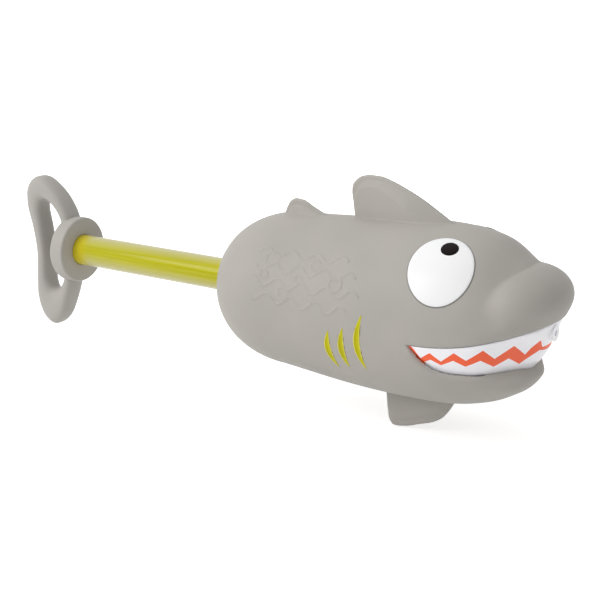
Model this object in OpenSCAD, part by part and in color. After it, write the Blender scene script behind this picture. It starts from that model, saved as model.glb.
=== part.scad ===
// Water squirter in the shape of a shark: a soft skin over a syringe pump whose tail is the handle.
// Origin: the nozzle outlet, on the pump axis. +X is the way the water leaves, +Z is up.

/* [Shark body] */
// Distance from the nozzle outlet to the flat rear face of the skin
shell_len = 207; // [200:1:225]
// Largest height of the trunk
body_h = 102; // [98:1:112]
// Largest width of the trunk
body_w = 100; // [96:1:112]
// Length of the rounded rear end
dome_len = 52; // [46:1:58]
// How far the nose reaches past the nozzle outlet
nose_reach = 6.5; // [4:0.5:9]
// Thickness of the skin
skin_wall = 3; // [2.4:0.1:3.6]

/* [Mouth] */
// Distance from the nozzle outlet back to the corner of the mouth
mouth_len = 64; // [56:1:72]
// Height of the mouth corner over the pump axis
mouth_corner_z = -5; // [-7:0.5:-3]
// How far the upper lip rises from the corner to the nose
lip_rise = 12; // [10:0.5:13]
// How far the lower lip drops from the corner to the jaw
jaw_drop = 15; // [13:0.5:16]
// How far the white insert lies behind the lips at the front
mouth_recess = 1.5; // [1:0.25:2.5]
// Thickness of the white insert
insert_wall = 2.5; // [2:0.1:3]

/* [Eyes] */
// Diameter of an eye
eye_d = 40; // [34:1:42]
// Distance from the nozzle outlet back to the eye centre
eye_back = 52; // [48:1:58]
// Angle of the eye centre over the horizontal
eye_angle = 42; // [38:1:46]
// How far the eye is turned towards the nose
eye_turn = 12; // [8:1:16]
// Radius of the eye's dome
eye_dome_r = 50; // [46:1:56]
// How far the eye's middle stands out of the skin
eye_proud = 0.8; // [0.5:0.1:1.2]
// Thickness of an eye
eye_t = 2; // [1.6:0.1:2.4]
// Diameter of a pupil
pupil_d = 9.6; // [8:0.2:12]
// How far the pupil lies above the eye centre, as an angle on the dome
pupil_lift = 16; // [12:1:17]
// How far the pupil lies towards the nose, as an angle on the dome
pupil_turn = 2.4; // [0:0.2:4]
// How far the pupil stands out of the eye
pupil_proud = 0.3; // [0.2:0.05:0.5]

/* [Gills] */
// Distance from the nozzle outlet back to the tips of the first gill
gill_back = 92; // [90:1:96]
// Distance from one gill to the next
gill_pitch = 10.5; // [9:0.5:12]
// Width of a gill at its middle
gill_w = 3.8; // [2.6:0.2:4]
// How far a gill bows to the rear
gill_bow = 5; // [3:0.5:6]
// How deep a gill inlay sits in the skin
gill_t = 1.2; // [1:0.1:1.5]

/* [Fins] */
// Height of the dorsal fin over the back
dorsal_h = 24; // [18:1:30]
// Length of the dorsal fin's root
dorsal_len = 65; // [58:1:70]
// Distance from the nozzle outlet back to the dorsal fin's trailing edge
dorsal_back = 125; // [120:1:132]
// Height of the small second fin over the back
second_h = 9; // [7:0.5:12]
// Length of the second fin's root
second_len = 36; // [30:1:42]
// Distance from the nozzle outlet back to the second fin's trailing edge
second_back = 175; // [170:1:180]
// Height of the keel fin under the belly
keel_h = 25; // [18:0.5:28]
// Length of the keel fin's root
keel_len = 45; // [40:1:50]
// Distance from the nozzle outlet back to the keel fin's trailing edge
keel_back = 102; // [98:1:110]
// Thickness of a fin's leading edge at its root
fin_t = 12; // [9:0.5:13]

/* [Pump] */
// Bore of the pump barrel
bore_d = 32; // [28:0.5:33]
// Wall of the pump barrel
barrel_wall = 2; // [1.6:0.1:2.2]
// Stroke of the plunger
stroke = 128; // [110:1:132]
// Length of the piston
piston_len = 16; // [14:1:18]
// Cord diameter of the sealing rings
ring_d = 2.4; // [2:0.1:2.6]
// Thickness of the rear cap's flange
cap_t = 3; // [2.5:0.1:3.5]
// Radius of the rear cap's flange
cap_r = 23.5; // [23:0.1:24]
// Thickness of the skin's seat under the rear cap
seat_t = 2.5; // [2:0.1:3]
// Depth of the rear cap's hub in the barrel
hub_len = 6; // [5:0.5:8]
// Thickness of the barrel's rear flange
flange_t = 6; // [5:0.5:7]
// Wall of the rod bush
bush_wall = 2.2; // [1.8:0.1:2.6]
// Thickness of the front cap's plate
front_t = 3.5; // [3:0.1:4]
// Depth of the front cap's spigot in the barrel
spigot_len = 6; // [5:0.5:7]

/* [Nozzle] */
// Bore of the nozzle outlet
outlet_d = 3.5; // [2.5:0.1:4.5]
// Length of the nozzle outlet's straight bore
outlet_len = 8; // [6:0.5:10]
// Outside diameter of the nozzle tip in the mouth
tip_d = 9; // [8:0.2:10]
// Outside diameter of the nozzle pipe behind the mouth
pipe_d = 13; // [12:0.2:14]
// Inside diameter of the nozzle pipe
pipe_bore = 6; // [5:0.2:6.6]
// Depth of the nozzle pipe in the front cap's socket
socket_in = 10; // [8:0.5:12]
// Wall of the front cap's socket
socket_wall = 2.5; // [2:0.1:3]

/* [Plunger] */
// Outside diameter of the plunger tube
tube_d = 20; // [18:0.5:21]
// Wall of the plunger tube
tube_wall = 1.6; // [1.2:0.1:2]
// Diameter of the handle's collar
collar_d = 43; // [40:1:46]
// Thickness of the handle's collar
collar_t = 11; // [9:0.5:12]
// Depth of the tube's socket in the collar
socket_len = 5; // [4:0.5:5.5]
// Length of the plug in the tube's rear end
plug_len = 16; // [15:1:24]
// Length of the piston's spigot in the tube
tube_spigot_len = 12; // [10:1:14]
// Diameter of the cross pin that holds the piston
pin_d = 2.4; // [2:0.1:3]

/* [Tail handle] */
// Height of the tail's upper lobe over the pump axis
tail_up = 46.5; // [42:0.5:52]
// Depth of the tail's lower lobe under the pump axis
tail_down = 53.5; // [48:0.5:58]
// Reach of the tail behind the collar's front face
tail_reach = 44; // [41:0.5:48]
// Thickness of the tail across the body
tail_w = 15.5; // [12:0.5:18]

/* [Screws] */
// Shank diameter of the screws
screw_d = 2.2; // [2:0.1:2.4]
// Head diameter of the screws
head_d = 4.2; // [3.8:0.1:4.4]
// Head height of the screws
head_t = 1.5; // [1.2:0.1:1.7]
// Length of a rear cap screw's shank
cap_screw_len = 9; // [8:0.5:10]
// Length of the handle screw's shank
handle_screw_len = 14; // [12:1:16]

/* [Fits] */
// Running gap of the tube in its bush and of the rings in the bore
running_gap = 0.05; // [0.03:0.01:0.08]
// Gap of pieces that are pushed or screwed together
seat_gap = 0.05; // [0.04:0.01:0.1]
// Gap round pieces that are set into the skin
skin_gap = 0.3; // [0.2:0.05:0.4]
// Gap left at each end of the plunger's stroke
free_gap = 1; // [0.5:0.1:1.5]

/* [Hidden] */

grey = [0.68, 0.67, 0.64];
white = [0.95, 0.95, 0.97];
lime = [0.80, 0.80, 0.15];
black = [0.10, 0.08, 0.07];
steel = [0.75, 0.76, 0.78];
natural = [0.86, 0.87, 0.85];
round_fn = 64;
ball_fn = 180;
pocket_fn = 36;
hole_fn = 24;
head_fn = 32;

// Outlines of the body, from the nose to the start of the rounded rear end. Each point is a share of that
// length behind the nozzle outlet and a share of half the height or width, both in percent.
top_line = [
    [-6, 78], [0, 73.7], [5, 69.9], [7, 69.5], [10, 72.5], [15, 81.5], [20, 92], [25, 97],
    [32, 100.5], [44, 102], [56, 100], [75, 95], [93, 91], [100, 90]
];
belly_line = [
    [-6, -4], [-2.5, -1], [0, 5], [1, 11], [4, 46], [6.5, 60.5], [10, 70], [15.5, 80.5], [22.5, 89],
    [31, 95], [44, 98], [56, 98.5], [75, 96.5], [93, 92], [100, 90]
];
side_line = [
    [-6, 57], [0, 57], [5, 61], [9, 66.5], [15.5, 78], [22.5, 88.5], [31, 96], [44, 100], [56, 100],
    [75, 97], [93, 93], [100, 92]
];
nose_z = 0.39;
nose_start = 16;
nose_bend = 2.4;

// The rounded rear end is cut flat where it is just wide enough for the rear cap's recess and its rim
dome_power = 0.85;
rear_rim = 1.3;
recess_r = cap_r + skin_gap;
tail_r = min(last(top_line)[1] * body_h / 2, last(side_line)[1] * body_w / 2) / 100;
rear_angle = asin(pow((recess_r + rear_rim) / tail_r, 1 / dome_power));
dome_pole = shell_len + dome_len * (1 - cos(rear_angle));
dome_start = dome_pole - dome_len;
function last(p) = p[len(p) - 1];

// Slope at point i of a list of points, zero at a peak
function step_slope(p, i) = (p[i + 1][1] - p[i][1]) / (p[i + 1][0] - p[i][0]);
function point_slope(p, i) =
    i == 0 ? step_slope(p, 0)
    : i == len(p) - 1 ? step_slope(p, i - 1)
    : let (a = step_slope(p, i - 1), b = step_slope(p, i))
        a * b <= 0 ? 0
        : let (ha = p[i][0] - p[i - 1][0], hb = p[i + 1][0] - p[i][0]) (ha * b + hb * a) / (ha + hb);

// Smooth curve through a list of points
function curve(p, u) =
    let (
        k = max([for (i = [0 : len(p) - 2]) p[i][0] <= u || i == 0 ? i : 0]),
        h = p[k + 1][0] - p[k][0],
        t = (u - p[k][0]) / h
    )
    (2 * pow(t, 3) - 3 * pow(t, 2) + 1) * p[k][1] + (pow(t, 3) - 2 * pow(t, 2) + t) * h * point_slope(p, k)
    + (3 * pow(t, 2) - 2 * pow(t, 3)) * p[k + 1][1] + (pow(t, 3) - pow(t, 2)) * h * point_slope(p, k + 1);

// Share of full size at distance d behind the outlet: below 1 on the rounded rear end and on the nose cap
function dome_share(d) = d <= dome_start ? 1 : pow(sin(acos(1 - (dome_pole - d) / dome_len)), dome_power);
function nose_share(d) =
    d >= nose_start ? 1 : sqrt(1 - pow(min(1, (nose_start - d) / (nose_start + nose_reach)), nose_bend));

function outline(p, d, half) = curve(p, 100 * min(1, d / dome_start)) / 100 * half * dome_share(d);
function to_nose(z, d) = nose_z * body_h / 2 + (z - nose_z * body_h / 2) * nose_share(d);
function top_z(d) = to_nose(outline(top_line, d, body_h / 2), d);
function belly_z(d) = to_nose(-outline(belly_line, d, body_h / 2), d);
function side_y(d) = outline(side_line, d, body_w / 2) * nose_share(d);

// The same outlines drawn in by a wall, measured square to the skin
slope_step = 0.5;
function lean(a, b) = norm([1, (b - a) / (2 * slope_step)]);
function top_in(d, wall) = top_z(d) - wall * lean(top_z(d - slope_step), top_z(d + slope_step));
function belly_in(d, wall) = belly_z(d) + wall * lean(belly_z(d - slope_step), belly_z(d + slope_step));
function side_in(d, wall) = side_y(d) - wall * lean(side_y(d - slope_step), side_y(d + slope_step));

// Point of the skin at distance d and angle a over the horizontal, on the right side, raised by lift
function skin_point(d, a, lift = 0) =
    let (mid = (top_z(d) + belly_z(d)) / 2, half = (top_z(d) - belly_z(d)) / 2)
    [-d, -(side_y(d) + lift) * cos(a), mid + (half + lift) * sin(a)];

// The face is narrower between the lips: share of the width lost there, in percent, by the distance behind
// the outlet, and the heights between which the loss sets in above and below the lips
mouth_taper = [[-8, 36], [7, 34], [11, 28], [17, 12], [28, 0]];
taper_top = [14, -6];
taper_low = [-32, -21];
function ease(v) = pow(max(0, min(1, v)), 2) * (3 - 2 * max(0, min(1, v)));
function fade(ends, z) = ease((z - ends[0]) / (ends[1] - ends[0]));
function face_share(d, z) =
    1 - curve(mouth_taper, min(d, last(mouth_taper)[0])) / 100 * fade(taper_top, z) * fade(taper_low, z);

// Ring of the body's section at distance d, drawn in by a wall
function section(d, wall, sides) =
    let (
        top = wall > 0 ? top_in(d, wall) : top_z(d),
        belly = wall > 0 ? belly_in(d, wall) : belly_z(d),
        inset = side_y(d) - side_in(d, wall)
    )
    [for (k = [0 : sides - 1]) let (a = 360 * k / sides, z = (top + belly) / 2 + (top - belly) / 2 * sin(a))
        [-d, (side_y(d) * face_share(d, z) - inset) * cos(a), z]];

// Closed solid through rings of points that follow each other along -X
module skin_over(rings) {
    n = len(rings);
    m = len(rings[0]);
    polyhedron(
        points = [for (r = rings) each r],
        faces = concat(
            [[for (k = [m - 1 : -1 : 0]) k]],
            [for (i = [0 : n - 2]) for (k = [0 : m - 1]) let (q = (k + 1) % m)
                let (a = i * m + k, b = i * m + q, c = a + m, d = b + m)
                    each [[a, b, c], [b, d, c]]],
            [[for (k = [0 : m - 1]) (n - 1) * m + k]]
        )
    );
}

// Distances of the sections, closer together on the nose and on the rear end
nose_steps = 9;
trunk_steps = 26;
dome_steps = 8;
nose_end = 86;
nose_stations = [for (i = [nose_steps : -1 : 1])
    nose_start - (nose_start + nose_reach) * sin(nose_end * i / nose_steps)];
trunk_stations = [for (i = [0 : trunk_steps]) nose_start + (dome_start - nose_start) * i / trunk_steps];
dome_stations = [for (i = [1 : dome_steps])
    dome_pole - dome_len * (1 - cos(90 + (rear_angle - 90) * i / dome_steps))];
skin_sides = 36;
body_stations = concat(nose_stations, trunk_stations, dome_stations);

module body_form() {
    skin_over([for (d = body_stations) section(d, 0, skin_sides)]);
}

// Hollow of the skin, from behind the nose to the seat of the rear cap
hollow_sides = 24;
hollow_steps = 18;
hollow_front = 0;
hollow_rear = shell_len - cap_t - seat_t;
module body_hollow() {
    skin_over([for (i = [0 : hollow_steps])
        section(hollow_front + (hollow_rear - hollow_front) * i / hollow_steps, skin_wall, hollow_sides)]);
}

// Lips, seen from the side, as heights at distance d behind the outlet
lip_power = 2.1;
jaw_run = 0.42;
jaw_power = 2.2;
function lip_share(d) = max(0, min(1, 1 - d / mouth_len));
function upper_lip(d) = mouth_corner_z + lip_rise * pow(lip_share(d), lip_power);
function lower_lip(d) =
    mouth_corner_z - jaw_drop * (1 - pow(max(0, 1 - lip_share(d) / jaw_run), jaw_power));
lip_steps = 16;
lip_front = -20;
lip_stations = concat([for (i = [0 : lip_steps]) mouth_len * (1 - i / lip_steps)], [lip_front]);
module lip_outline() {
    polygon(concat(
        [for (d = lip_stations) [-d, upper_lip(d)]],
        [for (i = [len(lip_stations) - 1 : -1 : 1]) [-lip_stations[i], lower_lip(lip_stations[i])]]
    ));
}
module mouth_prism(gap = 0) {
    rotate([90, 0, 0])
        linear_extrude(2 * body_w, center = true)
            offset(delta = -gap)
                lip_outline();
}

// Fin of round bars laid from its trailing to its leading edge, each rib at a share h of the height.
// The leading edge is raked by a share of the root times h to a power. The trailing edge leans to the rear
// and its corner is drawn in.
fin_fn = 12;
fin_tip_share = 0.45;
fin_back_share = 0.55;
fin_ribs = [0, 0.3, 0.55, 0.75, 0.9, 1];
corner_from = 0.6;
function fin_front(f, h) = -f[0] + f[1] - f[1] * f[4][0] * pow(h, f[4][1]);
function fin_back(f, h) =
    -f[0] - f[4][2] * h + f[4][3] * pow(max(0, (h - corner_from) / (1 - corner_from)), 2);
function fin_bar(h) = fin_t / 2 * (1 - (1 - fin_tip_share) * h);
module fin_rib(f, h) {
    r = fin_bar(h);
    z = f[3] + h * f[2] - r * h;
    translate([fin_front(f, h) - r, 0, z])
        sphere(r, $fn = fin_fn);
    translate([fin_back(f, h) + r * fin_back_share, 0, z])
        sphere(r * fin_back_share, $fn = fin_fn);
}
module fin(f) {
    for (i = [0 : len(fin_ribs) - 2])
        hull() {
            fin_rib(f, fin_ribs[i]);
            fin_rib(f, fin_ribs[i + 1]);
        }
}
// Shape of each fin: rake as a share of the root, power of the rake, lean, draw of the corner
dorsal_shape = [0.77, 1.6, 4.5, 12];
second_shape = [0.62, 0.9, -6, 4];
keel_shape = [0.86, 2, -1, 4];
fin_sink = 1;
dorsal_root = top_z(dorsal_back - dorsal_len / 2) - fin_sink;
second_root = top_z(second_back - second_len / 2) - fin_sink;
keel_root = -belly_z(keel_back - keel_len / 2) - fin_sink;
// Each fin: trailing end of its root, length of its root, height, height of its root, shape
dorsal = [dorsal_back, dorsal_len, dorsal_h, dorsal_root, dorsal_shape];
second = [second_back, second_len, second_h, second_root, second_shape];
keel = [keel_back, keel_len, keel_h, keel_root, keel_shape];
module fins() {
    fin(dorsal);
    fin(second);
    mirror([0, 0, 1])
        fin(keel);
}

// Places things at the right eye, with +Z out of the head
eye_point = skin_point(eye_back, eye_angle, eye_proud);
module at_eye() {
    translate(eye_point)
        rotate([0, 0, eye_turn])
            rotate([90 - eye_angle, 0, 0])
                children();
}
module eye_ball(depth, fn = ball_fn) {
    translate([0, 0, -eye_dome_r])
        sphere(eye_dome_r - depth, $fn = fn);
}
eye_rim = 4;
pocket_reach = 12;
module eye_disc(r, fn = round_fn) {
    translate([0, 0, -pocket_reach])
        cylinder(r = r, h = 2 * pocket_reach, $fn = fn);
}
// Pocket of an eye in the skin, and the thicker skin behind it
module eye_pocket() {
    at_eye()
        difference() {
            eye_disc(eye_d / 2 + skin_gap, pocket_fn);
            eye_ball(eye_t + skin_gap, pocket_fn);
        }
}
module eye_backing() {
    at_eye()
        difference() {
            eye_disc(eye_d / 2 + eye_rim, pocket_fn);
            eye_ball(eye_t + skin_wall, pocket_fn);
        }
}
module at_pupil() {
    at_eye()
        translate([0, 0, -eye_dome_r])
            rotate([-pupil_lift, pupil_turn, 0])
                translate([0, 0, eye_dome_r])
                    children();
}
pupil_depth = 0.8;

// Gill: a crescent laid on the skin between two angles, from depth under to lift over the surface
gill_spans = [[7, -28.5], [-2.5, -31.5], [-7, -34.5]];
gill_steps = 8;
gill_tip = 0.2;
module gill(i, side_gap, depth, lift) {
    skin_over([for (k = [0 : gill_steps]) let (
        t = k / gill_steps,
        a = gill_spans[i][0] + (gill_spans[i][1] - gill_spans[i][0]) * t,
        d = gill_back + gill_pitch * i + gill_bow * sin(180 * t),
        half = gill_w / 2 * sin(180 * t) + gill_tip + side_gap
    ) [
        skin_point(d - half, a, -depth), skin_point(d + half, a, -depth),
        skin_point(d + half, a, lift), skin_point(d - half, a, lift)
    ]]);
}
module gill_inlays() {
    for (i = [0 : len(gill_spans) - 1])
        gill(i, 0, gill_t, gill_lift);
}
gill_lift = 0.2;
groove_open = 3;
module gill_grooves() {
    for (i = [0 : len(gill_spans) - 1])
        gill(i, skin_gap, gill_t + skin_gap, groove_open);
}

// Solid or ring about the pump axis between two distances along X
module bar(x0, x1, r, fn = round_fn) {
    translate([x0, 0, 0])
        rotate([0, 90, 0])
            cylinder(r = r, h = x1 - x0, $fn = fn);
}
module ring(x, r, cord) {
    translate([x, 0, 0])
        rotate([0, 90, 0])
            rotate_extrude($fn = round_fn)
                translate([r, 0])
                    circle(d = cord, $fn = hole_fn);
}
past = 1;

// Places along the pump axis
rear_x = -shell_len;
cap_x = rear_x + cap_t;
barrel_rear = cap_x + seat_t;
hub_x = barrel_rear + hub_len;
piston_rear = hub_x + free_gap;
piston_front = piston_rear + piston_len;
front_inner = piston_front + stroke + free_gap;
barrel_front = front_inner + spigot_len;
front_x = barrel_front + front_t;
collar_front = rear_x - stroke - free_gap;
tube_rear = collar_front - socket_len;

// Radii of the pump
bore_r = bore_d / 2;
barrel_r = bore_r + barrel_wall;
tube_r = tube_d / 2;
tube_in = tube_r - tube_wall;
bush_in = tube_r + running_gap;
bush_r = bush_in + bush_wall;
hub_r = bore_r - seat_gap;
piston_gap = 0.3;
cap_screw_r = (barrel_r + cap_r) / 2;
cap_screw_count = 4;
cap_screw_turn = 45;
screw_r = screw_d / 2;
hole_clear = 0.3;
hole_r = screw_r + hole_clear;
hub_clear = 0.5;
skin_hole_r = hub_r + hub_clear;
head_clear = 0.15;

module at_cap_screws() {
    for (i = [0 : cap_screw_count - 1])
        rotate([cap_screw_turn + 360 / cap_screw_count * i, 0, 0])
            translate([0, 0, cap_screw_r])
                children();
}

module body_skin() {
    color(grey)
        difference() {
            union() {
                body_form();
                fins();
            }
            difference() {
                body_hollow();
                eye_backing();
                mirror([0, 1, 0])
                    eye_backing();
            }
            mouth_prism();
            for (side = [0, 1])
                mirror([0, side, 0]) {
                    eye_pocket();
                    gill_grooves();
                }
            bar(rear_x - past, cap_x, recess_r);
            bar(rear_x, barrel_rear + past, skin_hole_r);
            at_cap_screws()
                bar(cap_x - past, barrel_rear + past, hole_r, hole_fn);
        }
}

// The insert has the lips' own outline, drawn in by the gap all round, on a copy of the body form that
// is moved back by the recess
insert_margin = 6;
insert_rear = mouth_len + insert_margin;
insert_steps = 14;
insert_sides = 36;
insert_trunk = [for (i = [0 : insert_steps]) nose_start + (insert_rear - nose_start) * i / insert_steps];
module mouth_insert() {
    color(white)
        difference() {
            intersection() {
                mouth_prism(skin_gap);
                translate([-mouth_recess, 0, 0])
                    skin_over([for (d = concat(nose_stations, insert_trunk)) section(d, 0, insert_sides)]);
            }
            translate([-mouth_recess, 0, 0])
                skin_over([for (i = [0 : insert_steps])
                    section(hollow_front + (insert_rear + past - hollow_front) * i / insert_steps,
                        insert_wall, insert_sides)]);
            bar(front_x, past, tip_d / 2 + seat_gap);
        }
}

// Nozzle tip in the mouth, on the pipe that plugs into the front cap
shoulder_gap = 5;
tip_len = mouth_recess + insert_wall + shoulder_gap;
pipe_r = pipe_d / 2;
pipe_ring_share = 0.75;
pipe_ring_d = pipe_ring_share * ring_d;
pipe_ring_x = front_x + socket_in / 2;
module nozzle_tip() {
    color(white)
        difference() {
            union() {
                bar(-tip_len, 0, tip_d / 2);
                bar(front_x, -tip_len, pipe_r);
            }
            bar(-outlet_len, past, outlet_d / 2);
            bar(front_x - past, -outlet_len, pipe_bore / 2);
            ring_groove(pipe_ring_x, pipe_r, pipe_ring_d);
        }
}
module nozzle_seal() {
    color(black)
        ring(pipe_ring_x, pipe_r - pipe_ring_d / 2, pipe_ring_d);
}

// Groove of a sealing ring whose outside lies at radius r
module ring_groove(x, r, cord) {
    half = cord / 2 + seat_gap;
    difference() {
        bar(x - half, x + half, r + past);
        bar(x - half - past, x + half + past, r - cord - seat_gap);
    }
}

module barrel() {
    color(natural)
        difference() {
            union() {
                bar(barrel_rear, barrel_front, barrel_r);
                bar(barrel_rear, barrel_rear + flange_t, cap_r);
            }
            bar(barrel_rear - past, barrel_front + past, bore_r);
            at_cap_screws()
                bar(barrel_rear - past, cap_screw_tip + seat_gap, screw_r + seat_gap, hole_fn);
        }
}

static_r = bore_r - seat_gap;
front_ring_x = front_inner + spigot_len / 2;
module front_cap() {
    color(natural)
        difference() {
            union() {
                bar(front_inner, barrel_front, static_r);
                bar(barrel_front, front_x, barrel_r);
                bar(front_x, front_x + socket_in, pipe_r + seat_gap + socket_wall);
            }
            bar(front_inner - past, front_x, pipe_bore / 2);
            bar(front_x, front_x + socket_in + past, pipe_r + seat_gap);
            ring_groove(front_ring_x, static_r, ring_d);
        }
}
module front_cap_seal() {
    color(black)
        ring(front_ring_x, static_r - ring_d / 2, ring_d);
}

cap_head_x = rear_x + head_t;
cap_screw_tip = cap_head_x + cap_screw_len;
module rear_cap() {
    color(grey)
        difference() {
            union() {
                bar(rear_x, cap_x, cap_r);
                bar(cap_x, hub_x, hub_r);
            }
            bar(rear_x - past, hub_x + past, bush_r + seat_gap);
            at_cap_screws() {
                bar(rear_x - past, cap_x + past, screw_r + seat_gap, hole_fn);
                bar(rear_x - past, cap_head_x, head_d / 2 + head_clear, head_fn);
            }
        }
}

// Screw along X with its head at the rear and a cross in the head
cross_w = 0.8;
cross_t = 0.9;
cross_share = 0.6;
module screw(head_x, shank) {
    difference() {
        union() {
            bar(head_x - head_t, head_x, head_d / 2, head_fn);
            bar(head_x, head_x + shank, screw_r, hole_fn);
        }
        for (turn = [0, 90])
            rotate([turn, 0, 0])
                translate([head_x - head_t, 0, 0])
                    cube([2 * cross_t, cross_share * head_d, cross_w], center = true);
    }
}
module rear_cap_screws() {
    color(steel)
        at_cap_screws()
            screw(cap_head_x, cap_screw_len);
}

module rod_bush() {
    color(white)
        difference() {
            bar(rear_x, hub_x, bush_r);
            bar(rear_x - past, hub_x + past, bush_in);
        }
}

pin_x = piston_rear - tube_spigot_len / 2;
pin_sink = 0.3;
pin_half = tube_r - pin_sink;
module pin_bar(half, r) {
    translate([pin_x, 0, 0])
        rotate([90, 0, 0])
            cylinder(r = r, h = 2 * half, center = true, $fn = hole_fn);
}
module plunger_tube() {
    color(lime)
        difference() {
            bar(tube_rear, piston_rear, tube_r);
            bar(tube_rear - past, piston_rear + past, tube_in);
            pin_bar(tube_r + past, pin_d / 2 + seat_gap);
        }
}

ring_places = [0.28, 0.72];
ring_rear_x = piston_rear + ring_places[0] * piston_len;
ring_front_x = piston_rear + ring_places[1] * piston_len;
ring_out = bore_r - running_gap;
module piston() {
    color(natural)
        difference() {
            union() {
                bar(piston_rear, piston_front, bore_r - piston_gap);
                bar(piston_rear - tube_spigot_len, piston_rear, tube_in - seat_gap);
            }
            ring_groove(ring_rear_x, ring_out, ring_d);
            ring_groove(ring_front_x, ring_out, ring_d);
            pin_bar(tube_r + past, pin_d / 2 + seat_gap);
        }
}
module piston_seal_front() {
    color(black)
        ring(ring_front_x, ring_out - ring_d / 2, ring_d);
}
module piston_seal_rear() {
    color(black)
        ring(ring_rear_x, ring_out - ring_d / 2, ring_d);
}
module piston_pin() {
    color(steel)
        pin_bar(pin_half, pin_d / 2);
}

screw_wall = 2.2;
handle_head_x = tube_rear - screw_wall;
module tube_plug() {
    color(lime)
        difference() {
            bar(tube_rear, tube_rear + plug_len, tube_in - seat_gap);
            bar(tube_rear - past, handle_head_x + handle_screw_len + past, screw_r + seat_gap, hole_fn);
        }
}

// Tail loop: pairs of points on its outer and inner edge, each a share of tail_reach behind the collar's
// front face and a share of tail_up or tail_down, in percent
tail_outer = [
    [12.5, 0], [11.5, 26], [14.5, 46], [26.5, 68], [44, 86], [68.5, 100], [89, 96], [100, 78.5],
    [99, 56], [89, 21.5], [84, -9], [86, -41], [87, -71], [77, -91.5], [59, -100], [39.5, -91.5],
    [26.5, -73], [16, -47], [11.5, -22.5]
];
tail_inner = [
    [28, 0], [28, 23.5], [32, 42], [42, 56], [53.5, 63.5], [62.5, 66.5], [69, 64.5], [72.5, 57.5],
    [73, 46], [68.5, 21.5], [65, -9], [66, -37.5], [64, -50.5], [60, -58], [53.5, -60], [44, -56],
    [35, -47.5], [29.5, -34.5], [28, -18.5]
];
tail_steps = 3;
tail_sides = 12;
tail_power = 3;
function tail_point(p) =
    [collar_front - tail_reach * p[0] / 100, p[1] / 100 * (p[1] > 0 ? tail_up : tail_down)];
// Point of a closed smooth curve through the points p, at t between points i and i + 1
function loop_point(p, i, t) =
    let (n = len(p), a = p[(i + n - 1) % n], b = p[i], c = p[(i + 1) % n], d = p[(i + 2) % n])
    0.5 * (2 * b + (c - a) * t + (2 * a - 5 * b + 4 * c - d) * t * t + (3 * b - a - 3 * c + d) * pow(t, 3));
function soft(v) = sign(v) * pow(abs(v), 2 / tail_power);
function tail_ring(o, i) = [for (k = [0 : tail_sides - 1])
    let (a = 360 * (k + 0.5) / tail_sides, p = (o + i) / 2 + (o - i) / 2 * soft(cos(a)))
        [p[0], tail_w / 2 * soft(sin(a)), p[1]]];
module tail_loop() {
    o = [for (p = tail_outer) tail_point(p)];
    i = [for (p = tail_inner) tail_point(p)];
    rings = [for (k = [0 : len(o) - 1]) for (j = [0 : tail_steps - 1])
        tail_ring(loop_point(o, k, j / tail_steps), loop_point(i, k, j / tail_steps))];
    n = len(rings);
    m = tail_sides;
    polyhedron(
        points = [for (r = rings) each r],
        faces = [for (k = [0 : n - 1]) for (j = [0 : m - 1])
            let (q = (j + 1) % m, near = k * m, far = (k + 1) % n * m)
                each [[near + j, far + j, near + q], [near + q, far + j, far + q]]]
    );
}
collar_round = 2.5;
module collar() {
    translate([collar_front, 0, 0])
        rotate([0, -90, 0])
            rotate_extrude($fn = round_fn)
                intersection() {
                    translate([-collar_d / 2 + collar_round, collar_round])
                        offset(collar_round, $fn = hole_fn)
                            square([collar_d - 2 * collar_round, collar_t - 2 * collar_round]);
                    square([collar_d, collar_t]);
                }
}
module tail_handle() {
    color(grey)
        difference() {
            union() {
                collar();
                tail_loop();
            }
            bar(tube_rear, collar_front + past, tube_r + seat_gap);
            bar(handle_head_x - past, tube_rear + past, hole_r, hole_fn);
            bar(collar_front - tail_reach / 2, handle_head_x, head_d / 2 + head_clear, head_fn);
        }
}
module handle_screw() {
    color(steel)
        screw(handle_head_x, handle_screw_len);
}

module eye_right() {
    color(white)
        difference() {
            intersection() {
                at_eye()
                    eye_disc(eye_d / 2);
                at_eye()
                    eye_ball(0);
            }
            at_eye()
                eye_ball(eye_t);
            at_pupil()
                translate([0, 0, -pupil_depth])
                    cylinder(r = pupil_d / 2 + seat_gap, h = pocket_reach, $fn = round_fn);
        }
}
module pupil_right() {
    color(black)
        intersection() {
            at_pupil()
                translate([0, 0, -pupil_depth])
                    cylinder(r = pupil_d / 2, h = pocket_reach, $fn = round_fn);
            at_eye()
                eye_ball(-pupil_proud);
        }
}
module eye_left() {
    mirror([0, 1, 0])
        eye_right();
}
module pupil_left() {
    mirror([0, 1, 0])
        pupil_right();
}
module gills_right() {
    color(lime)
        gill_inlays();
}
module gills_left() {
    mirror([0, 1, 0])
        gills_right();
}

body_skin();
mouth_insert();
nozzle_tip();
nozzle_seal();
barrel();
front_cap();
front_cap_seal();
rear_cap();
rear_cap_screws();
rod_bush();
plunger_tube();
piston();
piston_seal_front();
piston_seal_rear();
piston_pin();
tube_plug();
tail_handle();
handle_screw();
eye_left();
eye_right();
pupil_left();
pupil_right();
gills_left();
gills_right();
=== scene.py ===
"""Shark-shaped water squirter: the looks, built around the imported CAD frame.

Sizes are in millimetres in the CAD axes (+X out of the nozzle, +Z up) and are turned into metres
when a mesh is made.
"""
import itertools
import math

import bpy
import numpy as np
from mathutils import Matrix, Vector


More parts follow.
